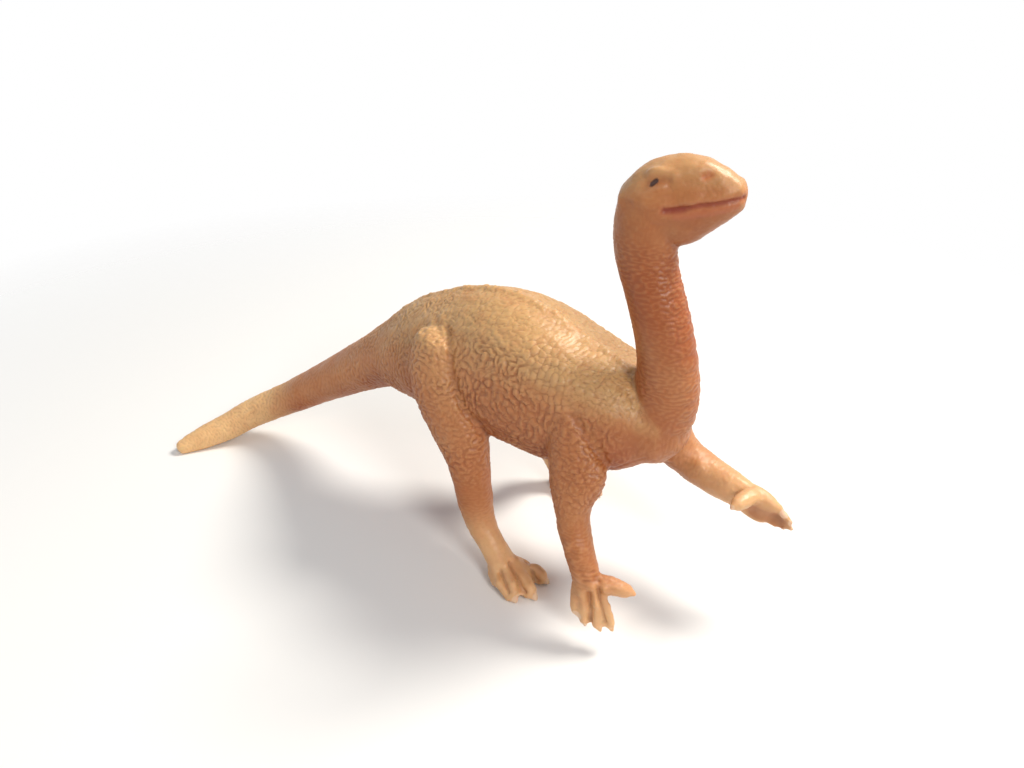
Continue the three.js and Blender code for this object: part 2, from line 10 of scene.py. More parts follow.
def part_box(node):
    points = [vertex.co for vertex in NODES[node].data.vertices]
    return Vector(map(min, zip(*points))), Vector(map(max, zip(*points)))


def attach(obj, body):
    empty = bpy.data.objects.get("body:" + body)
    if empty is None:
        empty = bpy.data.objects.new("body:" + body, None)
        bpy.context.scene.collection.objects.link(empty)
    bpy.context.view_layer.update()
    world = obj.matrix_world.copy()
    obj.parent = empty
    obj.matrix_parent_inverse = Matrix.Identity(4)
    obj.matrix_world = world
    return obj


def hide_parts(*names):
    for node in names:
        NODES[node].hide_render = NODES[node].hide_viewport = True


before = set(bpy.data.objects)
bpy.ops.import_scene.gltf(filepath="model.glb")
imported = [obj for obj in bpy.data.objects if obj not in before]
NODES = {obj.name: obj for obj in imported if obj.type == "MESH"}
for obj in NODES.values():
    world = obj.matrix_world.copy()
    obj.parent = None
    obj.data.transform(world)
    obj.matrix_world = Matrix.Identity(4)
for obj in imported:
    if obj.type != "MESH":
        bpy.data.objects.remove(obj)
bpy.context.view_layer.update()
MM = 0.001
SEED = 7

# Places in mm in the figure's own frame: x forward, y to its left, z up, zero
# on the floor in the middle of the stance.

TORSO_BACK = 46.0                   # tail seam, behind the middle of the stance
low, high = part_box("torso")
SHIFT = np.array([low.x / MM + TORSO_BACK, (low.y + high.y) / 2 / MM, 0.0])
Y_AXIS = np.array([0.0, 1.0, 0.0])

SPINE = np.array([
    (-120, -34, 2), (-116, -29, 4), (-112, -20, 5.5), (-105.3, -12, 10), (-97, -7, 14.5),
    (-88, -3.8, 20), (-79.6, -1.7, 25), (-70.6, -0.5, 30), (-61.7, 0, 35), (-51, 0, 42),
    (-46, 0, 46), (-35, 0, 50), (-25, 0, 52), (-15, 0, 53), (-7, 0, 53), (1, 0, 52.5),
    (10, 0, 51), (19, 0, 50), (27, 0, 49), (34, 0, 48), (42, 0, 47),
], float)
NECK = np.array([
    (28, 0, 42), (31.5, 0, 50), (33.6, 0, 58.5), (33.5, 0, 65.5), (32, 0, 72), (30, 0, 78.4),
    (27.8, 0, 84.3), (26.2, 0, 89.7), (25.6, 0, 95), (25.6, 0, 100), (26.5, 0, 106),
], float)
LIMBS = {
    "right_leg": np.array([
        (-22, -13.2, 62.5), (-22, -13.2, 52), (-13, -14.6, 33.5), (-7.6, -15.8, 13.6), (1.6, -17.7, 4),
        (13, -18, 1),
    ], float),
    "left_leg": np.array([
        (-22, 13.2, 62.5), (-22, 13.2, 52), (-10.5, 18.3, 33.5), (-11.5, 23.2, 13.6), (-6.8, 25.1, 4),
        (5, 26, 1),
    ], float),
    "right_arm": np.array([
        (17.5, -11.5, 55.5), (17.5, -11.5, 50.5), (21.6, -17.6, 31.6), (28.2, -21.4, 17.6),
        (30.6, -22.4, 10.2), (33, -23, 3),
    ], float),
    "left_arm": np.array([
        (17.5, 11.5, 55.5), (17.5, 11.5, 50.5), (35.5, 14.6, 34.3), (49, 13.2, 31), (58, 12.8, 28.6),
        (64.5, 12.8, 26.8),
    ], float),
}

# a place with fine forms, and how far round it they reach
FINE_SPOTS = [
    ((31, -22, 10), 11), ((57, 13, 29), 11), ((5, -18, 2), 14), ((-2, 26, 2), 14),
    ((44, 5, 104), 6), ((-119, -33, 2), 8),
]

# the tips of the claws, and how big each claw is
CLAWS = [
    ((10.9, -23.8, 1.2), 1.6), ((14.3, -19.5, 1.2), 1.6), ((13.1, -12.6, 1.2), 1.5),
    ((28.2, -25.0, 8.2), 1.1), ((30.4, -24.6, 4.6), 1.4), ((32.8, -23.6, 3.4), 1.5),
    ((35.6, -22.4, 4.2), 1.4), ((39.2, -15.4, 13.7), 1.5),
    ((62.8, 12.7, 25.1), 0.9), ((64.6, 12.6, 26.2), 1.0), ((63.7, 12.6, 28.1), 0.9),
    ((61.3, 12.7, 29.8), 0.9), ((51.3, 3.3, 32.4), 1.0),
    ((2.3, 31.1, 1.2), 1.6), ((5.9, 26.9, 1.2), 1.6), ((4.7, 20.0, 1.2), 1.5),
]

# the head's own axes
HEAD_AT = np.array([25.2, 0.0, 102.0])
HEAD_TURN = math.radians(15)
HEAD_PITCH = math.radians(9)
HEAD_SIDE = np.array([-math.sin(HEAD_TURN), math.cos(HEAD_TURN), 0.0])
HEAD_AHEAD = np.array([
    math.cos(HEAD_TURN) * math.cos(HEAD_PITCH), math.sin(HEAD_TURN) * math.cos(HEAD_PITCH),
    math.sin(HEAD_PITCH),
])
HEAD_UP = np.cross(HEAD_AHEAD, HEAD_SIDE)
EYE_AHEAD, EYE_OUT, EYE_UP = 3.3, 4.9, 4.9
EYE_REACH = 4.2                     # the skin is smoothed this far round an eye
NAPE = np.array([18.0, -0.8, 105.5])
NAPE_REACH = 6.5                    # and this far round the nape

# Lines and spots read off the picture, in its pixels

THIGH_CREASE = ((447, 325), (449, 345), (452, 372), (457, 398), (466, 414), (480, 424))
THIGH_EDGE = ((441, 318), (444, 330), (446, 345), (448, 358))
THIGH_BACK = ((432, 322), (428, 335), (430, 350))
THIGH_TOP = ((414, 326), (428, 318), (444, 322))
ARM_CREASE = ((574, 416), (582, 430), (590, 443), (598, 455), (605, 463))
ARM_FRONT = ((563, 352), (560, 380), (558, 405), (566, 425))
PLATE_BAND = ((478, 302), (515, 312), (548, 330), (582, 350), (618, 376))
SCALE_COLUMN = ((541, 350), (546, 368), (549, 386), (551, 402))
SHOULDER_CRACKS = ((575, 380), (605, 388), (634, 396))
CURL_PATCH = ((490, 345), (500, 370), (512, 395), (520, 412))
CHEST_FOLDS = (
    ((613, 468), (628, 464), (645, 458)),
    ((610, 473), (628, 469), (648, 463)),
)
NAPE_FOLD = ((613, 196), (621, 199), (630, 203))
THROAT_CREASE = ((668, 243), (676, 247), (684, 246))
MOUTH_LINE = (
    (664, 211), (670, 211), (684, 209), (700, 206), (714, 204.5), (726, 202.5), (738, 199.5),
    (745, 197),
)
MOUTH_REAR = ((665, 211), (672, 211), (684, 209.5))
UPPER_LIP = ((684, 203), (700, 200), (716, 198), (730, 195))
LOWER_LIP = ((676, 217), (690, 216), (706, 213), (722, 210), (736, 206))
BROW = ((650, 172), (658, 170), (666, 173), (674, 178))
EYE_HOLLOW = ((647, 185), (654, 182.5), (661, 180.5), (668, 180))
EYE_SLIT = ((651, 184.3), (653.5, 182.3), (655.5, 181))
LOWER_LID = ((647, 189), (655, 188), (664, 186))
NOSTRIL = ((706, 176), (710, 174.5))
CHEEK = ((640, 196), (645, 208), (655, 220))
JAW_MUSCLE = ((652, 198), (657, 206))
JAW_HOLLOW = ((666, 222), (680, 227), (694, 224))
SNOUT_EDGE = ((676, 175), (690, 170), (706, 166))
SNOUT_HOLLOW = ((676, 189), (692, 185), (708, 185))
WRIST_FOLDS = (
    ((568, 574), (580, 571), (594, 572)),
    ((570, 579), (582, 576), (597, 577)),
    ((571, 584), (584, 581), (599, 581)),
)
FOREARM_BUMPS = ((571, 545), (579, 552), (582, 560), (574, 561), (567, 548), (584, 549))
ELBOW_FOLDS = (
    ((562, 478), (572, 486), (586, 488)),
    ((590, 488), (594, 496), (590, 504)),
)
LEFT_ELBOW_KNOB = (698, 466)
LEFT_PALM = ((754, 514), (766, 519), (778, 524))
LEFT_EDGE = ((757, 497), (769, 503), (780, 512), (788, 521))

FINGER_GROOVES = (((589, 594), (590, 608), (590, 620)), ((599, 590), (602, 606), (605, 622)))
FINGER_RIDGES = (
    ((583, 596), (585, 608), (586, 620)),
    ((593, 587), (596, 602), (599, 624)),
    ((604, 589), (608, 604), (612, 624)),
)
KNUCKLES = ((590, 587), (601, 590), (581, 592), (596, 604), (607, 606))
TOE_GROOVES = (
    ((501, 572), (505, 582), (508, 592)),
    ((510, 564), (518, 579), (524, 592)),
    ((526, 561), (533, 572), (537, 582)),
)
TOE_RIDGES = (
    ((505, 566), (511, 580), (515, 594)),
    ((517, 560), (527, 576), (533, 592)),
    ((530, 558), (539, 568), (545, 578)),
)
TOE_KNOBS = ((512, 584), (529, 586), (542, 574), (498, 584), (534, 566))

# Colours as red, green and blue from 0 to 255

FLANK = (176, 110, 62)
# the back's own paler tan, made paler still as painted light on faces turned up
BACK_TONE_AND_LIGHT = (196, 154, 102)
# the underside's own reddish tone, darkened as painted shade
BELLY_TONE_AND_SHADE = (142, 70, 32)
NECK_TAN = (156, 80, 32)
HEAD_TAN = (180, 110, 58)
LIMB_TAN = (172, 104, 56)
# painted shade under the jaw
JAW_SHADE = (152, 84, 40)
# painted sunlight on the hands, feet and reaching arm
SUNLIT_TAN = (228, 182, 132)
TAIL_TIP = (226, 184, 130)
# painted shade for the cracks, furrows and hollows
FURROW_SHADE = (124, 66, 36)
# paler colour for the random blotches, and the painted highlight on sharp tops
PALE_MOTTLE_AND_HIGHLIGHT = (216, 164, 112)
BLUSH = (176, 100, 58)
CLAW = (224, 192, 164)
MOUTH = (136, 48, 28)
LIP = (178, 96, 62)
EYE = (58, 28, 20)
NOSTRIL_RED = (184, 92, 42)


# Camera

TILT = math.radians(29.7)
CAMERA_AT = np.array([93.03, -139.95, 146.0])
FORWARD = np.array([-0.5878, 0.8090, 0.0])
RIGHT = np.array([0.8090, 0.5878, 0.0])
UP = np.array([0.0, 0.0, 1.0])
VIEW = FORWARD * math.cos(TILT) - UP * math.sin(TILT)
VIEW_UP = FORWARD * math.sin(TILT) + UP * math.cos(TILT)
FOCAL = 770.0
PICTURE = (1024, 768)


def make_camera():
    data = bpy.data.cameras.new("camera")
    data.sensor_width = 36
    data.lens = FOCAL / PICTURE[0] * data.sensor_width
    data.clip_start = 0.01
    camera = bpy.data.objects.new("camera", data)
    bpy.context.scene.collection.objects.link(camera)
    turn = Matrix((RIGHT, VIEW_UP, -VIEW)).transposed().to_4x4()
    camera.matrix_world = Matrix.Translation(Vector((CAMERA_AT + SHIFT) * MM)) @ turn
    bpy.context.scene.camera = camera


def pixel_ray(u, v):
    """The direction in the figure's frame that a pixel of the picture looks along."""
    ray = VIEW + RIGHT * (u - PICTURE[0] / 2) / FOCAL - VIEW_UP * (v - PICTURE[1] / 2) / FOCAL
    return ray / np.linalg.norm(ray)


make_camera()


# Mesh tools

SMOOTH_IN = 0.5                     # a step of smoothing
SMOOTH_OUT = 0.53                   # and the step back, which keeps the size

def arrays_of(mesh):
    points = np.empty(len(mesh.vertices) * 3, np.float32)
    mesh.vertices.foreach_get("co", points)
    return points.reshape(-1, 3).astype(float)


def quads_of(mesh):
    """All faces as rows of four corners. A triangle repeats its last corner."""
    starts = np.empty(len(mesh.polygons), np.int32)
    totals = np.empty(len(mesh.polygons), np.int32)
    corners = np.empty(len(mesh.loops), np.int32)
    mesh.polygons.foreach_get("loop_start", starts)
    mesh.polygons.foreach_get("loop_total", totals)
    mesh.loops.foreach_get("vertex_index", corners)
    fourth = np.where(totals > 3, starts + 3, starts + 2)
    return corners[np.stack([starts, starts + 1, starts + 2, fourth], 1)]


def remeshed(mesh, voxel):
    """Voxel remesh of a mesh in mm."""
    obj = bpy.data.objects.new("work", mesh)
    bpy.context.scene.collection.objects.link(obj)
    modifier = obj.modifiers.new("remesh", "REMESH")
    modifier.mode = "VOXEL"
    modifier.voxel_size = voxel
    modifier.adaptivity = 0
    depsgraph = bpy.context.evaluated_depsgraph_get()
    result = bpy.data.meshes.new_from_object(obj.evaluated_get(depsgraph))
    bpy.data.objects.remove(obj)
    return result


def build_mesh(name, points, quads):
    mesh = bpy.data.meshes.new(name)
    faces = [q if q[2] != q[3] else q[:3] for q in quads.tolist()]
    mesh.from_pydata(points.tolist(), [], faces)
    mesh.update()
    return mesh


def edges_of(quads):
    pairs = np.concatenate([quads[:, [0, 1]], quads[:, [1, 2]], quads[:, [2, 3]], quads[:, [3, 0]]])
    pairs = pairs[pairs[:, 0] != pairs[:, 1]]
    pairs.sort(axis=1)
    return np.unique(pairs, axis=0)


class Net:
    """Averages over neighbouring points."""

    def __init__(self, count, edges):
        self.a, self.b, self.count = edges[:, 0], edges[:, 1], count
        self.degree = np.bincount(self.a, minlength=count) + np.bincount(self.b, minlength=count)
        self.degree = np.maximum(self.degree, 1)

    def mean(self, values):
        columns = []
        for k in range(values.shape[1]):
            v = values[:, k]
            total = np.bincount(self.a, v[self.b], self.count)
            total += np.bincount(self.b, v[self.a], self.count)
            columns.append(total / self.degree)
        return np.stack(columns, 1)

    def smooth(self, values, weight, rounds):
        weight = np.broadcast_to(np.asarray(weight, float).reshape(-1, 1), (self.count, 1))
        for _ in range(rounds):
            values = values + weight * (self.mean(values) - values)
        return values

    def taubin(self, values, weight, rounds):
        """Smooths without shrinking."""
        weight = np.asarray(weight, float).reshape(-1, 1)
        for _ in range(rounds):
            values = values + SMOOTH_IN * weight * (self.mean(values) - values)
            values = values - SMOOTH_OUT * weight * (self.mean(values) - values)
        return values

    def spread(self, values, flow, rounds):
        """Lets one value for each point flow along the edges."""
        for _ in range(rounds):
            moved = flow * (values[self.b] - values[self.a])
            values = values + np.bincount(self.a, moved, self.count)
            values -= np.bincount(self.b, moved, self.count)
        return values


def normals_of(points, quads):
    a, b, c, d = (points[quads[:, k]] for k in range(4))
    face = np.cross(c - a, d - b)
    flat = quads[:, 2] == quads[:, 3]
    face[flat] = np.cross(b[flat] - a[flat], c[flat] - a[flat])
    total = np.zeros_like(points)
    for k in range(3):
        for corner in range(4):
            total[:, k] += np.bincount(quads[:, corner], face[:, k], len(points))
    return total / np.maximum(np.linalg.norm(total, axis=1, keepdims=True), 1e-12)


def outer_shell(points, quads):
    """Keeps the largest island of the mesh."""
    edges = edges_of(quads)
    label = np.arange(len(points))
    while True:
        before = label.copy()
        np.minimum.at(label, edges[:, 0], label[edges[:, 1]])
        np.minimum.at(label, edges[:, 1], label[edges[:, 0]])
        label = label[label]
        if (label == before).all():
            break
    keep = label == np.bincount(label).argmax()
    index = np.cumsum(keep) - 1
    return points[keep], index[quads[keep[quads[:, 0]]]]


def step(low_end, high_end, values):
    t = np.clip((values - low_end) / (high_end - low_end), 0, 1)
    return t * t * (3 - 2 * t)


# One skin over all the solids

GROW = 0.22                         # the solids are grown by this much to meet
STAYS_ON = 0.05                     # this much of it stays on the skin
COARSE = 0.45                       # mesh width of the first skin
FINE = 0.315    # mesh width of the last one
ROUND_OFF = 6                       # rounds of smoothing that take the joins away
EVEN_OUT = 26                       # rounds that keep the size
SOFTEN = 40                         # rounds at the eyes and the nape
LAST_ROUNDS = 5
OWNER_REACH = 6.0                   # a node lies within this of the skin that it owns
OWNER_ROUNDS = 8                    # rounds that blend one node's share into the next


def swollen_nodes(by):
    """All CAD nodes in one mesh, each grown by a little so that they meet."""
    whole = bmesh.new()
    for node in NODES.values():
        part = bmesh.new()
        part.from_mesh(node.data)
        bmesh.ops.remove_doubles(part, verts=part.verts, dist=1e-6)
        part.normal_update()
        moves = [(v.co / MM + v.normal * by) for v in part.verts]
        for v, place in zip(part.verts, moves):
            v.co = place - Vector(SHIFT)
        mesh = bpy.data.meshes.new("part")
        part.to_mesh(mesh)
        part.free()
        whole.from_mesh(mesh)
        bpy.data.meshes.remove(mesh)
    mesh = bpy.data.meshes.new("whole")
    whole.to_mesh(mesh)
    whole.free()
    return mesh


def small_parts(p):
    """1 near hands, feet, face and tail tip, where the forms are fine."""
    out = np.zeros(len(p))
    for at, reach in FINE_SPOTS:
        d = np.linalg.norm(p - np.array(at), axis=1)
        out = np.maximum(out, 1 - step(reach * 0.75, reach * 1.15, d))
    return out


def soft_share(p):
    """1 round both eyes and on the nape."""
    out = np.zeros(len(p))
    for side in (-1, 1):
        at = HEAD_AT + EYE_AHEAD * HEAD_AHEAD + side * EYE_OUT * HEAD_SIDE + EYE_UP * HEAD_UP
        d = np.linalg.norm(p - at, axis=1)
        out = np.maximum(out, 1 - step(EYE_REACH * 0.6, EYE_REACH, d))
    d = np.linalg.norm(p - NAPE, axis=1)
    return np.maximum(out, 1 - step(NAPE_REACH * 0.6, NAPE_REACH, d))


def smooth_skin():
    coarse = remeshed(swollen_nodes(GROW), COARSE)
    points, quads = outer_shell(arrays_of(coarse), quads_of(coarse))
    net = Net(len(points), edges_of(quads))
    fine_share = small_parts(points)
    points = net.smooth(points, (1 - fine_share) * 0.5 + fine_share * 0.1, ROUND_OFF)
    points = net.taubin(points, 1 - fine_share * 0.9, EVEN_OUT)
    points = net.smooth(points, soft_share(points) * 0.5, SOFTEN)
    points = points - normals_of(points, quads) * (GROW - STAYS_ON)
    dense = remeshed(build_mesh("smooth", points, quads), FINE)
    points, quads = outer_shell(arrays_of(dense), quads_of(dense))
    net = Net(len(points), edges_of(quads))
    points = net.taubin(points, 1 - small_parts(points) * 0.6, LAST_ROUNDS)
    return points, quads, net


BASE, quads, net = smooth_skin()
COUNT = len(BASE)
normals = normals_of(BASE, quads)
names = sorted(NODES)


def nearest_nodes():
    """The row of the CAD node that each point of the skin lies on."""
    reach = np.full((len(names), COUNT), 1e9)
    for row, name in enumerate(names):
        node_mesh = NODES[name].data
        verts = arrays_of(node_mesh) / MM - SHIFT
        faces = quads_of(node_mesh)[:, :3]
        tree = BVHTree.FromPolygons([Vector(v) for v in verts], faces.tolist())
        lo, hi = verts.min(0) - OWNER_REACH / 2, verts.max(0) + OWNER_REACH / 2
        near = np.nonzero(((BASE > lo) & (BASE < hi)).all(1))[0]
        for i in near:
            hit = tree.find_nearest(Vector(BASE[i]), OWNER_REACH)
            if hit[0] is not None:
                reach[row, i] = hit[3]
    return reach.argmin(0)


owner = nearest_nodes()
share = np.zeros((COUNT, len(names)))
share[np.arange(COUNT), owner] = 1
share = net.smooth(share, 1.0, OWNER_ROUNDS)
part_share = {name: share[:, k] for k, name in enumerate(names)}

triangles = quads[:, :3].tolist() + quads[quads[:, 2] != quads[:, 3]][:, [0, 2, 3]].tolist()
skin_tree = BVHTree.FromPolygons([Vector(p) for p in BASE], triangles)


def on_skin(u, v):
    """The point of the skin that the camera sees at a pixel."""
    hit = skin_tree.ray_cast(Vector(CAMERA_AT), Vector(pixel_ray(u, v)))
    return np.array(hit[0]) if hit[0] is not None else None


def other_flank(p):
    return p * (1, -1, 1)


def other_side_of_head(p):
    return p - 2 * ((p - HEAD_AT) @ HEAD_SIDE) * HEAD_SIDE


def only_this_side(p):
    return p


def lines_on_skin(pixels, mirror):
    """A line of the picture laid on the skin, and its twin on the other side."""
    found = [p for p in (on_skin(u, v) for u, v in pixels) if p is not None]
    if len(found) < 2:
        print("a line of the picture misses the skin", pixels[0])
        return []
    lines = [np.array(found)]
    if mirror is not only_this_side:
        lines.append(np.array([skin_tree.find_nearest(Vector(mirror(p)))[0] for p in found]))
    return lines


def distance_to(line):
    best = np.full(COUNT, 1e9)
    for a, b in zip(line[:-1], line[1:]):
        d = b - a
        t = np.clip((BASE - a) @ d / max(d @ d, 1e-9), 0, 1)
        best = np.minimum(best, np.linalg.norm(BASE - a - t[:, None] * d, axis=1))
    return best


def distance_from(pixels, mirror=other_flank):
    best = np.full(COUNT, 1e9)
    for line in lines_on_skin(pixels, mirror):
        best = np.minimum(best, distance_to(line))
    return best


def patch(pixels, radius, mirror=other_flank):
    """1 along a line of the picture, falling to 0 at the radius."""
    return 1 - step(radius * 0.45, radius, distance_from(pixels, mirror))


def fold(pixels, width, mirror=other_flank):
    """A bell-shaped rise of 1 along a line of the picture."""
    return np.exp(-((distance_from(pixels, mirror) / width) ** 2))


# Patterns


def hashed(cell, salt):
    """A number from 0 to 1 for each whole place, scattered by the seed and a salt."""
    x, y, z = cell.T
    h = (x * 73856093) ^ (y * 19349663) ^ (z * 83492791) ^ (salt * 2654435 + SEED * 97)
    h = (h ^ (h >> 13)) * 1274126177
    h = h & 0x7FFFFFFF
    return ((h ^ (h >> 16)) & 0xFFFFF) / float(0xFFFFF)


# Every pattern has a salt of its own, so that no two of them line up
NEIGHBOURS = [(i, j, k) for i in (-1, 0, 1) for j in (-1, 0, 1) for k in (-1, 0, 1)]
CORNERS = [(i, j, k) for i in (0, 1) for j in (0, 1) for k in (0, 1)]


def cells(p, size, salt=0, jitter=0.85):
    """Distance to the nearest and next nearest of scattered seeds, and a
    number for the nearest one."""
    q = p / size
    base = np.floor(q).astype(np.int64)
    first = np.full(len(p), 9.0)
    second = np.full(len(p), 9.0)
    label = np.zeros(len(p))
    for offset in NEIGHBOURS:
        cell = base + offset
        seed = np.stack([hashed(cell, salt + k) for k in range(3)], 1)
        d = np.linalg.norm(cell + 0.5 + (seed - 0.5) * jitter - q, axis=1)
        nearer = d < first
        second = np.where(nearer, first, np.minimum(second, d))
        label = np.where(nearer, seed[:, 0], label)
        first = np.where(nearer, d, first)
    return first, second, label


def noise(p, size, salt=0):
    """Smooth noise from -1 to 1."""
    q = p / size
    base = np.floor(q).astype(np.int64)
    f = q - base
    f = f * f * (3 - 2 * f)
    total = np.zeros(len(p))
    for corner in CORNERS:
        w = np.prod([f[:, k] if corner[k] else 1 - f[:, k] for k in range(3)], axis=0)
        total += w * hashed(base + corner, salt)
    return total * 2 - 1


def warped(p, size, amount, salt=0):
    return p + amount * np.stack([noise(p, size, salt + 11 * k) for k in range(3)], 1)


def scales(p, size, width, salt=0, jitter=0.85):
    """Domed scales (1 on top) and the thin cracks between them (1 inside)."""
    first, second, label = cells(p, size, salt, jitter)
    crack = 1 - step(0, width, second - first)
    dome = np.clip(1 - (first / 0.62) ** 2, 0, 1)
    return dome, crack, label


FLOW = 0.2                          # share of a difference that flows along an edge in a round
SPREAD_OF_WAVE = 0.0234             # mm2 of spread for a wave of 1 mm
BROADER = 3                         # the broad spread takes this many times the rounds
SHARPEN = 1.5


def furrows(direction, wave, length_share, salt, rounds=8):
    """A maze of ridges (1) and furrows (-1). They run mostly along a direction,
    one over the root of length_share times as far as across it."""
    way = BASE[net.b] - BASE[net.a]
    edge = np.linalg.norm(way, axis=1)
    along = ((way / edge[:, None] * direction[net.a]).sum(1)) ** 2
    flow = FLOW * (length_share + (1 - length_share) * along)
    narrow_spread = SPREAD_OF_WAVE * wave * wave
    narrow = max(1, round(narrow_spread / (2 * FLOW * length_share * np.median(edge) ** 2)))
    v = hashed(np.arange(COUNT)[:, None] * (1, 7, 13), salt) - 0.5
    for _ in range(rounds):
        v = net.spread(v, flow, narrow)
        v = v - net.spread(v, flow, narrow * BROADER)
        v = np.tanh(SHARPEN * v / v.std())
    return net.spread(v, flow, 1)


def broad_ridges(maze):
    """Widens the ridges of a maze and narrows its furrows."""
    return 2 * step(-0.9, 0.3, maze) - 1


def straightened(line, p, side_axis):
    """Place along a line and to both sides of it, and the line's direction."""
    best = np.full(len(p), 1e9)
    out = np.zeros_like(p)
    axis = np.zeros_like(p)
    start = 0.0
    for a, b in zip(line[:-1], line[1:]):
        d = b - a
        length = np.linalg.norm(d)
        ahead = d / length
        t = np.clip((p - a) @ ahead, 0, length)
        off = p - a - t[:, None] * ahead
        gap = np.linalg.norm(off, axis=1)
        side = side_axis - ahead * (side_axis @ ahead)
        side /= np.linalg.norm(side)
        up = np.cross(ahead, side)
        near = gap < best
        out[near] = np.stack([start + t, off @ side, off @ up], 1)[near]
        axis[near] = ahead
        best = np.minimum(best, gap)
        start += length
    return out, axis


# Where each kind of texture lies

torso_share = part_share["torso"]
tail_share = part_share["tail"]
neck_share = part_share["neck_and_head"]
head_share = neck_share * step(92, 97, BASE[:, 2] + 0.15 * (BASE[:, 0] - 25))
throat_share = neck_share * (1 - head_share)
leg_share = part_share["right_leg"] + part_share["left_leg"]
arm_share = part_share["right_arm"] + part_share["left_arm"]
thigh = leg_share * step(20, 36, BASE[:, 2])
upper_arm = arm_share * step(26, 38, BASE[:, 2]) * step(36, 30, BASE[:, 0])
lower_limb = np.clip(leg_share + arm_share - thigh - upper_arm, 0, 1)

spine_place, spine_axis = straightened(SPINE, BASE, Y_AXIS)
neck_place, neck_axis = straightened(NECK, BASE, Y_AXIS)
axis = spine_axis * (1 - neck_share)[:, None] + neck_axis * neck_share[:, None]
limb_place = spine_place.copy()
for limb, line in LIMBS.items():
    place, limb_axis = straightened(line, BASE, Y_AXIS)
    held = part_share[limb] > 0.5
    limb_place[held] = place[held]
    axis[held] = limb_axis[held]
around = np.cross(axis, normals)
around /= np.maximum(np.linalg.norm(around, axis=1, keepdims=True), 1e-9)
sway = 1.5 * noise(BASE, 6.5, 81)
swaying = around * np.cos(sway)[:, None] + np.cross(normals, around) * np.sin(sway)[:, None]

relief = np.zeros(COUNT)            # mm outwards
crack_shade = np.zeros(COUNT)            # how dark the painted shade in a crack is, 0 to 1
everywhere = np.ones(COUNT)


def add(height, where, dark=0.0, marks=None):
    """Adds a height in mm where the share says so, and paints shade into its marks."""
    global relief, crack_shade
    relief = relief + where * height
    if marks is not None:
        crack_shade = np.maximum(crack_shade, dark * where * marks)


def add_scales(where, p, size, crack_width, salt, dome, depth, dark, jitter=0.85, uneven=0.0, under=0.0):
    """Domed scales: dome, depth of the cracks and unevenness in mm. Under is what lies below them."""
    domes, cracks, label = scales(p, size, crack_width, salt, jitter)
    add(dome * domes - depth * cracks + uneven * (label - 0.5) + under, where, dark, cracks)


def rumpled(p, wide, fine, salts):
    """Warps twice. Each time takes the size of the waves and how far they move a place."""
    return warped(warped(p, *wide, salts[0]), *fine, salts[1])


def crease(pixels, depth, width, dark=0.0, dark_width=0.0, mirror=other_flank, where=everywhere):
    """Presses a line of the picture into the skin, with a line of painted shade at its bottom."""
    marks = fold(pixels, dark_width, mirror) if dark else None
    add(-depth * fold(pixels, width, mirror), where, dark, marks)


def swelling(pixels, height, width, mirror=other_flank, where=everywhere):
    """Raises the skin along a line of the picture."""
    add(height * fold(pixels, width, mirror), where)


def knob(spot, height, width):
    """Raises one round spot, on this side only."""
    swelling((spot, spot), height, width, only_this_side)


# turns the shoulder's cracks so that they run down and forward
LEAN = np.array([(0.80, 0, 0.60), (0, 1, 0), (-0.54, 0, 0.84)])
SHOULDER_STRETCH = (0.36, 0.8, 1)
BLOCK_STRETCH = (1.15, 1, 0.95)


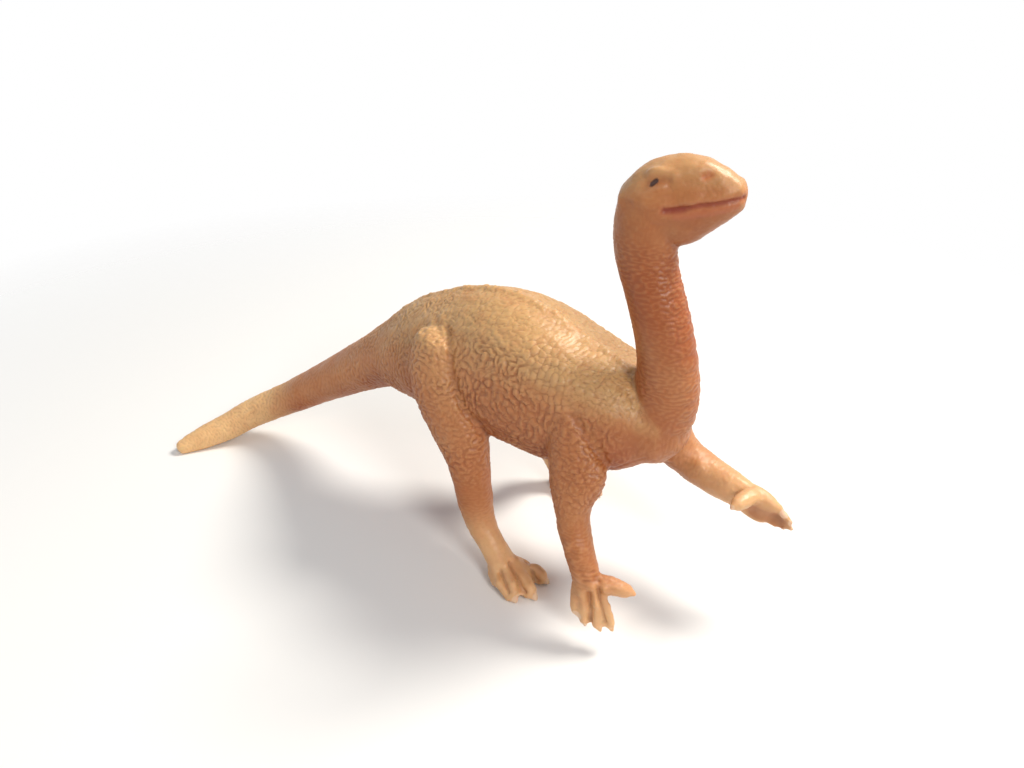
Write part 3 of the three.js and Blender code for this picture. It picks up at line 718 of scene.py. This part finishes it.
def body_texture():
    """Curled furrows on the trunk, with plates, square scales and cracks in their places."""
    plates = patch(PLATE_BAND, radius=11)
    column = patch(SCALE_COLUMN, radius=5.5)
    shoulder = patch(SHOULDER_CRACKS, radius=9) * (1 - column)
    curly = patch(CURL_PATCH, radius=16)
    torso = torso_share * (1 - throat_share)
    wide_maze = furrows(swaying, wave=1.15, length_share=0.3, salt=71)
    fine_maze = furrows(swaying, wave=0.8, length_share=0.6, salt=75)
    maze = 0.75 * broad_ridges(wide_maze) + 0.35 * fine_maze
    swell = np.clip(0.85 + 0.6 * noise(BASE, 4, 23), 0.3, 1.4)
    marks = np.clip(-wide_maze, 0, 1) * swell
    calm = 1 - 0.4 * step(0.3, 0.9, normals[:, 2])
    chest = torso_share * step(20, 32, BASE[:, 0]) * step(0.8, 0.2, normals[:, 2])
    rest = torso * (1 - column) * (1 - 0.8 * plates) * (1 - 0.75 * shoulder) * (1 - 0.6 * chest) * calm
    curls = maze * swell

    add(0.22 * curls, rest * (0.65 + 0.35 * curly), 0.5, marks)
    place = rumpled(BASE, wide=(3.6, 1.4), fine=(1.1, 0.6), salts=(83, 85))
    add_scales(rest, place, size=3.4, crack_width=0.13, salt=87, dome=0.10, depth=0.16, dark=0.5)

    place = rumpled(BASE, wide=(3.0, 1.3), fine=(1.0, 0.55), salts=(3, 7))
    add_scales(torso * plates * (1 - column) * calm, place, size=2.3, crack_width=0.15, salt=5,
               dome=0.08, depth=0.15, dark=0.6, uneven=0.05, under=0.05 * maze)

    place = rumpled(BASE, wide=(4, 0.6), fine=(1.2, 0.25), salts=(13, 19)) * BLOCK_STRETCH
    add_scales(torso * column, place, size=2.0, crack_width=0.2, salt=15, dome=0.26, depth=0.12,
               dark=0.5, jitter=0.4, under=0.04 * maze)

    place = rumpled(BASE @ LEAN, wide=(3, 1.0), fine=(1.0, 0.35), salts=(25, 29)) * SHOULDER_STRETCH
    add_scales(torso * shoulder, place, size=1.5, crack_width=0.16, salt=27, dome=0.05, depth=0.12,
               dark=0.5, under=0.04 * maze)

    top = patch(THIGH_TOP, radius=10)
    place = rumpled(BASE, wide=(2.2, 0.8), fine=(0.9, 0.3), salts=(33, 39))
    add_scales(thigh * (0.6 + 0.4 * top), place, size=1.6, crack_width=0.2, salt=35,
               dome=0.16 + 0.14 * top, depth=0.10, dark=0.4)
    add(0.16 * curls, thigh * (1 - 0.5 * top), 0.4, marks)
    add(0.13 * curls, tail_share * step(-82, -52, BASE[:, 0]), 0.35, marks)
    add(0.22 * noise(BASE, 3.2, 89), thigh * (0.4 + 0.6 * top))

    place = rumpled(BASE, wide=(3, 1.1), fine=(0.9, 0.4), salts=(43, 49))
    add_scales(upper_arm, place, size=2.3, crack_width=0.14, salt=45, dome=0.06, depth=0.13, dark=0.5)
    add(0.12 * curls, upper_arm, 0.3, marks)


def ringed_texture():
    """Rings round the neck, the tail and the lower limbs."""
    rings = furrows(around, wave=0.85, length_share=0.2, salt=73)
    marks = np.clip(-rings, 0, 1)
    ringed = rings * (0.7 + 0.4 * noise(BASE, 8, 37))
    add(0.11 * ringed, throat_share, 0.3, marks)
    to_tip = step(-62, -92, BASE[:, 0])
    add(0.085 * ringed, tail_share * (0.7 + 0.3 * to_tip), 0.45, marks)
    hand_or_foot = np.clip(step(20, 8, BASE[:, 2]) + step(46, 52, BASE[:, 0]), 0, 1)
    reaching = arm_share * step(34, 42, BASE[:, 0])
    add(0.09 * ringed, lower_limb * (1 - 0.7 * hand_or_foot) * (1 - 0.5 * reaching), 0.2, marks)


SCALLOP = 3.1                       # length of one scallop of the throat


def throat_scallops():
    """Shallow steps down the front of the neck."""
    scallop = np.abs(np.sin(neck_place[:, 0] * math.pi / SCALLOP + 0.7 * noise(BASE, 6, 35)))
    add(0.20 * (scallop - 0.6), throat_share * step(0.5, 0.95, normals[:, 0]))


def knobs_of_lower_limbs():
    """Low round scales on the shanks and the wrists."""
    domes, cracks, label = scales(warped(limb_place, 2, 0.5, 53), size=1.9, width=0.25, salt=55)
    add(0.10 * domes * label, lower_limb * step(28, 10, BASE[:, 2]))


def spine_texture():
    """A soft ridge with a row of scales of uneven height."""
    crest = (torso_share + tail_share) * step(0.8, 0.95, normals[:, 2]) * step(34, 26, BASE[:, 0])
    domes, cracks, label = scales(BASE * (1, 0.6, 0.6), size=1.35, width=0.3, salt=57)
    off = np.abs(BASE[:, 1] + 0.5 * noise(BASE, 2.5, 59))
    ridge = np.exp(-((off / 1.2) ** 2))
    add(0.30 * ridge + 0.42 * domes * label * step(2.0, 0.8, off), crest)


def unevenness():
    """What every moulded surface has, and more of it where the rings are weak."""
    add(0.11 * noise(BASE, 2.1, 61) + 0.06 * noise(BASE, 1.0, 65), head_share)
    skull = head_share * step(112, 106, BASE[:, 2])
    add(0.035 * furrows(swaying, wave=0.9, length_share=0.6, salt=77), skull)
    add(0.03 * noise(BASE, 0.9, 63), 1 - head_share)
    tail_and_limbs = np.clip(tail_share + lower_limb, 0, 1)
    add(0.14 * noise(BASE, 4.0, 67) + 0.08 * noise(BASE, 2.0, 69), tail_and_limbs)


def forms_of_hand_and_foot():
    """Grooves between the fingers and between the toes, their knuckles, and the hollow palm."""
    here = only_this_side
    for line in FINGER_GROOVES + TOE_GROOVES:
        crease(line, depth=1.0, width=0.8, dark=0.35, dark_width=0.6, mirror=here)
    for line in FINGER_RIDGES + TOE_RIDGES:
        swelling(line, height=0.5, width=1.1, mirror=here)
    for spot in KNUCKLES + TOE_KNOBS:
        knob(spot, height=0.42, width=1.0)
    knob(LEFT_ELBOW_KNOB, height=0.6, width=1.9)
    crease(LEFT_PALM, depth=0.9, width=2.2, mirror=here)
    swelling(LEFT_EDGE, height=0.35, width=1.0, mirror=here)


def folds_of_the_body():
    here = only_this_side
    beads = 0.55 + 0.45 * np.sin(BASE[:, 2] * 2.6)
    crease(THIGH_CREASE, depth=0.50, width=1.0, dark=0.45, dark_width=0.8)
    swelling(THIGH_EDGE, height=0.38, width=0.9, where=beads)
    swelling(THIGH_BACK, height=0.25, width=1.1)
    swelling(THIGH_TOP, height=0.25, width=2.2)
    crease(ARM_CREASE, depth=0.55, width=1.1, dark=0.5, dark_width=0.8)
    swelling(ARM_FRONT, height=0.25, width=2.2)
    for line in CHEST_FOLDS:
        crease(line, depth=0.16, width=0.5, dark=0.3, dark_width=0.4, mirror=here)
    for line in WRIST_FOLDS:
        crease(line, depth=0.32, width=0.5, dark=0.4, dark_width=0.45, mirror=here)
    for line in ELBOW_FOLDS:
        crease(line, depth=0.18, width=0.5, dark=0.3, dark_width=0.45, mirror=here)
    for spot in FOREARM_BUMPS:
        knob(spot, height=0.38, width=1.2)
    crease(NAPE_FOLD, depth=0.2, width=0.7, mirror=other_side_of_head)
    crease(THROAT_CREASE, depth=0.2, width=0.6, mirror=other_side_of_head)


# the lines of the head: height (less than 0 is pressed in) and width in mm
HEAD_FORMS = [
    (EYE_HOLLOW, -0.55, 1.1), (BROW, 0.34, 0.9), (LOWER_LID, 0.22, 0.7), (CHEEK, 0.28, 2.4),
    (JAW_MUSCLE, 0.25, 2.4), (JAW_HOLLOW, -0.30, 2.2), (SNOUT_HOLLOW, -0.28, 2.2),
    (SNOUT_EDGE, 0.30, 1.5), (NOSTRIL, -0.34, 0.75), (MOUTH_LINE, -0.42, 0.5),
    (MOUTH_REAR, -0.2, 0.9), (UPPER_LIP, 0.24, 0.9), (LOWER_LIP, 0.20, 0.8), (EYE_SLIT, -0.25, 0.5),
]


def forms_of_the_head():
    for line, height, width in HEAD_FORMS:
        swelling(line, height, width, mirror=other_side_of_head, where=head_share)


body_texture()
ringed_texture()
throat_scallops()
knobs_of_lower_limbs()
spine_texture()
unevenness()
folds_of_the_body()
forms_of_hand_and_foot()
forms_of_the_head()

# Paint, painted shade and painted light, 0 to 1 for each point

CLAW_FADE = 1.6                     # the paint of a claw ends at this many times its size
CLAW_POLISH = 0.85                  # share of the texture that a claw lacks


def face_paint(pixels, solid, gone):
    """1 up to solid mm from a line of the face, and 0 from gone mm on."""
    return (1 - step(solid, gone, distance_from(pixels, other_side_of_head))) * head_share


def claw_paint():
    limb = step(0.3, 0.7, leg_share + arm_share)
    out = np.zeros(COUNT)
    for at, size in CLAWS:
        d = np.linalg.norm(BASE - np.array(at, float), axis=1)
        out = np.maximum(out, (1 - step(size, size * CLAW_FADE, d)) * limb)
    return out


claw = claw_paint()
relief *= 1 - claw * CLAW_POLISH

points = BASE + normals * relief[:, None]
points[:, 2] = np.maximum(points[:, 2], 0.02)

# how much each point is bent: 0 on a sharp top, 1 in a deep hollow. It guides painted shade in the
# hollows and a painted highlight on the sharp tops.
bend = ((points - net.smooth(points, 1.0, rounds=5)) * normals).sum(1)
hollow_shade_and_highlight = np.clip(0.5 - bend * 3.0, 0, 1)

mouth = np.maximum(0.75 * face_paint(MOUTH_LINE, 0.1, 0.75), face_paint(MOUTH_REAR, 0.0, 1.2))
lip = np.maximum(face_paint(LOWER_LIP, 0.4, 1.3), 0.5 * face_paint(MOUTH_LINE, 0.7, 1.5))
eye = face_paint(EYE_SLIT, 0.3, 0.8)
nostril = face_paint(NOSTRIL, 0.3, 1.5)
# painted shade: the lower part of the head is darker
jaw_shade = head_share * step(103, 95, BASE[:, 2])
trunk = np.clip(torso_share + 0.8 * tail_share + thigh + 0.7 * head_share, 0, 1)
# upward-facing trunk: partly its own paler tan, partly painted light from above
back_tone_and_light = step(-0.1, 0.75, normals[:, 2]) * step(40, 62, BASE[:, 2]) * trunk
# downward-facing faces: partly the own reddish underside, partly painted shade
belly_tone_and_shade = step(0.25, -0.6, normals[:, 2])
warm = torso_share * step(12, 34, BASE[:, 0]) * step(0.7, 0.1, normals[:, 2])
# painted sunlight: the hands, feet and the arm reaching forward are paler
limb_sunlight = np.clip(
    (leg_share + arm_share) * step(22, 6, BASE[:, 2]) + arm_share * step(28, 54, BASE[:, 0]), 0, 1)
# painted shade in the hollow of the left palm
palm_shade = fold(LEFT_PALM, 2.6, only_this_side)
tip = tail_share * step(-86, -106, BASE[:, 0])
FIELDS = {
    "crack_shade": crack_shade, "hollow_shade_and_highlight": hollow_shade_and_highlight, "mouth": mouth, "eye": eye, "nostril": nostril, "lip": lip,
    "claw": claw, "back_tone_and_light": back_tone_and_light, "belly_tone_and_shade": belly_tone_and_shade, "warm": warm, "jaw_shade": jaw_shade, "head": head_share,
    "limb_sunlight": limb_sunlight, "palm_shade": palm_shade, "tip": tip,
}


# Materials


def srgb(colour):
    def lin(c):
        c = c / 255
        return c / 12.92 if c <= 0.04045 else ((c + 0.055) / 1.055) ** 2.4
    return (*(lin(c) for c in colour), 1)


class Paint:
    """Builds one material, coat of paint by coat of paint."""

    def __init__(self, name, base):
        self.material = bpy.data.materials.new(name)
        self.material.use_nodes = True
        self.nodes = self.material.node_tree.nodes
        self.links = self.material.node_tree.links
        self.bsdf = self.nodes["Principled BSDF"]
        self.where = self.nodes.new("ShaderNodeTexCoord").outputs["Object"]
        self.colour = srgb(base)

    def set(self, socket, value):
        if isinstance(value, (int, float, tuple)):
            socket.default_value = value
        else:
            self.links.new(value, socket)

    def field(self, name):
        node = self.nodes.new("ShaderNodeAttribute")
        node.attribute_name = name
        return node.outputs["Fac"]

    def noise(self, scale, detail):
        node = self.nodes.new("ShaderNodeTexNoise")
        node.inputs["Scale"].default_value = scale
        node.inputs["Detail"].default_value = detail
        self.links.new(self.where, node.inputs["Vector"])
        return node.outputs[0]

    def ramp(self, value, lo, hi, out_lo=0.0, out_hi=1.0):
        node = self.nodes.new("ShaderNodeMapRange")
        node.clamp = True
        self.links.new(value, node.inputs[0])
        for socket, number in zip(node.inputs[1:5], (lo, hi, out_lo, out_hi)):
            socket.default_value = number
        return node.outputs[0]

    def coat(self, amount, colour):
        node = self.nodes.new("ShaderNodeMix")
        node.data_type = "RGBA"
        self.set(node.inputs[0], amount)
        self.set(node.inputs[6], self.colour)
        self.set(node.inputs[7], srgb(colour))
        self.colour = node.outputs[2]


# The coats of paint, in order: the field that guides a coat, where on that field
# the coat starts and where it is full, how strong it is there, and its colour.
COATS = [
    ("warm", 0, 1, 1, NECK_TAN),
    ("head", 0, 1, 0.9, HEAD_TAN),
    # partly the back's own paler tan, partly painted light on faces turned up
    ("back_tone_and_light", 0, 1, 1, BACK_TONE_AND_LIGHT),
    # partly the own reddish underside, partly painted shade on faces turned down
    ("belly_tone_and_shade", 0, 1, 0.8, BELLY_TONE_AND_SHADE),
    # painted shade under the jaw
    ("jaw_shade", 0, 1, 0.7, JAW_SHADE),
    # painted sunlight on the hands, feet and reaching arm
    ("limb_sunlight", 0, 1, 0.85, SUNLIT_TAN),
    # painted shade in the palm
    ("palm_shade", 0.1, 0.7, 0.85, BELLY_TONE_AND_SHADE),
    ("tip", 0, 1, 1, TAIL_TIP),
    ("large", 0.4, 0.72, 0.34, PALE_MOTTLE_AND_HIGHLIGHT),
    ("middle", 0.45, 0.72, 0.25, BLUSH),
    # painted shade in the hollows
    ("hollow_shade_and_highlight", 0.5, 0.9, 0.30, FURROW_SHADE),
    # painted highlight on the sharp tops
    ("hollow_shade_and_highlight", 0.48, 0.1, 0.25, PALE_MOTTLE_AND_HIGHLIGHT),
    # painted shade in the cracks and furrows
    ("crack_shade", 0.1, 1, 0.42, FURROW_SHADE),
    ("claw", 0.2, 0.9, 0.7, CLAW),
    ("nostril", 0, 1, 0.55, NOSTRIL_RED),
    ("lip", 0, 1, 0.6, LIP),
    ("mouth", 0, 1, 0.9, MOUTH),
    ("eye", 0.2, 0.9, 0.95, EYE),
]


def skin_material(name, base):
    """Soft satin PVC with the painted mouth, eyes and claws, painted shade in the furrows, hollows,
    palm, under the jaw and partly on the belly, and painted light on the sharp tops, hands and feet and
    partly on the back.
    """
    paint = Paint(name, base)
    middle = paint.noise(scale=260, detail=4)
    blotches = {"large": paint.noise(scale=55, detail=4), "middle": middle}
    fine = paint.noise(scale=1500, detail=3)
    for field, start, full, strength, colour in COATS:
        guide = blotches[field] if field in blotches else paint.field(field)
        paint.coat(paint.ramp(guide, start, full, 0, strength), colour)
    paint.set(paint.bsdf.inputs["Base Color"], paint.colour)
    paint.set(paint.bsdf.inputs["Roughness"], paint.ramp(middle, 0.3, 0.75, 0.36, 0.54))
    paint.set(paint.bsdf.inputs["IOR"], 1.47)
    paint.set(paint.bsdf.inputs["Subsurface Weight"], 0.2)
    paint.set(paint.bsdf.inputs["Subsurface Radius"], (1.0, 0.42, 0.16))
    paint.set(paint.bsdf.inputs["Subsurface Scale"], 0.001)
    bump = paint.nodes.new("ShaderNodeBump")
    bump.inputs["Strength"].default_value = 0.35
    bump.inputs["Distance"].default_value = 0.00012
    paint.links.new(fine, bump.inputs["Height"])
    paint.set(paint.bsdf.inputs["Normal"], bump.outputs[0])
    return paint.material


SKINS = {
    "body_skin": skin_material("body_skin_pvc", FLANK),
    "neck_skin": skin_material("neck_skin_pvc", NECK_TAN),
    "limb_skin": skin_material("limb_skin_pvc", LIMB_TAN),
}
SLOT_OF = {
    "torso": "body_skin", "tail": "body_skin", "neck_and_head": "neck_skin",
    "right_leg": "limb_skin", "left_leg": "limb_skin", "right_arm": "limb_skin", "left_arm": "limb_skin",
}


# The skin is cut into one piece for each CAD node

smooth_normals = normals_of(points, quads)
face_owner = owner[quads[:, 0]]


def make_piece(row, name):
    chosen = quads[face_owner == row]
    used = np.unique(chosen)
    index = np.full(COUNT, -1)
    index[used] = np.arange(len(used))
    mesh = build_mesh(name + "_skin", (points[used] + SHIFT) * MM, index[chosen])
    for field_name, values in FIELDS.items():
        layer = mesh.attributes.new(field_name, "FLOAT", "POINT")
        layer.data.foreach_set("value", values[used].astype(np.float32))
    mesh.polygons.foreach_set("use_smooth", np.ones(len(mesh.polygons), bool))
    mesh.normals_split_custom_set_from_vertices(smooth_normals[used].tolist())
    mesh.materials.append(SKINS[SLOT_OF[name]])
    piece = bpy.data.objects.new(name + "_skin", mesh)
    bpy.context.scene.collection.objects.link(piece)
    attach(piece, "root")
    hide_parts(name)
    print(name, "triangles", sum(len(face) - 2 for face in (p.vertices for p in mesh.polygons)))


for row, name in enumerate(names):
    make_piece(row, name)


# Floor, world and lamps

FLOOR_SIZE = 2.0
FLOOR_WHITE = (240, 240, 240)
FLOOR_FADE = (0.14, 0.33)           # the floor fades into the white world between these
LAMP_DISTANCE = 0.8
LAMP_FOCUS = np.array([-15, 0, 50]) # mm in the figure's frame
AMBIENT = (0.95, 0.97, 1.0, 1)
AMBIENT_STRENGTH = 0.32


def make_floor():
    size = FLOOR_SIZE / 2
    mesh = bpy.data.meshes.new("floor")
    corners = [(-size, -size, 0), (size, -size, 0), (size, size, 0), (-size, size, 0)]
    mesh.from_pydata(corners, [], [(0, 1, 2, 3)])
    floor = bpy.data.objects.new("floor", mesh)
    bpy.context.scene.collection.objects.link(floor)
    paint = Paint("floor_white", FLOOR_WHITE)
    paint.set(paint.bsdf.inputs["Base Color"], paint.colour)
    paint.set(paint.bsdf.inputs["Roughness"], 0.9)
    length = paint.nodes.new("ShaderNodeVectorMath")
    length.operation = "LENGTH"
    paint.links.new(paint.where, length.inputs[0])
    fade = paint.ramp(length.outputs["Value"], *FLOOR_FADE)
    clear = paint.nodes.new("ShaderNodeBsdfTransparent")
    mixed = paint.nodes.new("ShaderNodeMixShader")
    paint.links.new(fade, mixed.inputs[0])
    paint.links.new(paint.bsdf.outputs[0], mixed.inputs[1])
    paint.links.new(clear.outputs[0], mixed.inputs[2])
    paint.links.new(mixed.outputs[0], paint.nodes["Material Output"].inputs[0])
    mesh.materials.append(paint.material)


def make_world():
    world = bpy.data.worlds.new("world")
    bpy.context.scene.world = world
    world.use_nodes = True
    nodes, links = world.node_tree.nodes, world.node_tree.links
    for node in list(nodes):
        nodes.remove(node)
    output = nodes.new("ShaderNodeOutputWorld")
    ambient = nodes.new("ShaderNodeBackground")
    ambient.inputs["Color"].default_value = AMBIENT
    ambient.inputs["Strength"].default_value = AMBIENT_STRENGTH
    white = nodes.new("ShaderNodeBackground")
    white.inputs["Color"].default_value = (1, 1, 1, 1)
    white.inputs["Strength"].default_value = 1.0
    path = nodes.new("ShaderNodeLightPath")
    seen = path.outputs["Is Camera Ray"]
    for ray in ("Is Glossy Ray", "Is Transmission Ray"):
        larger = nodes.new("ShaderNodeMath")
        larger.operation = "MAXIMUM"
        links.new(seen, larger.inputs[0])
        links.new(path.outputs[ray], larger.inputs[1])
        seen = larger.outputs[0]
    chooser = nodes.new("ShaderNodeMixShader")
    links.new(seen, chooser.inputs[0])
    links.new(ambient.outputs[0], chooser.inputs[1])
    links.new(white.outputs[0], chooser.inputs[2])
    links.new(chooser.outputs[0], output.inputs[0])


def area_light(name, direction, width, power, colour):
    focus = Vector((SHIFT + LAMP_FOCUS) * MM)
    data = bpy.data.lights.new(name, "AREA")
    data.shape = "DISK"
    data.size = width
    data.energy = power
    data.color = colour
    lamp = bpy.data.objects.new(name, data)
    bpy.context.scene.collection.objects.link(lamp)
    lamp.location = focus + Vector(direction).normalized() * LAMP_DISTANCE
    lamp.rotation_euler = (focus - lamp.location).to_track_quat("-Z", "Y").to_euler()


make_floor()
make_world()
area_light("key", (0.45, 0.62, 1.0), width=0.26, power=6.5, colour=(1.0, 0.95, 0.86))
area_light("rake", (1.0, -0.45, 0.75), width=0.25, power=3.0, colour=(1.0, 0.97, 0.92))
area_light("fill", (-0.5, -1.0, 0.6), width=0.7, power=0.8, colour=(0.97, 0.98, 1.0))

bpy.context.scene.view_settings.view_transform = "Standard"
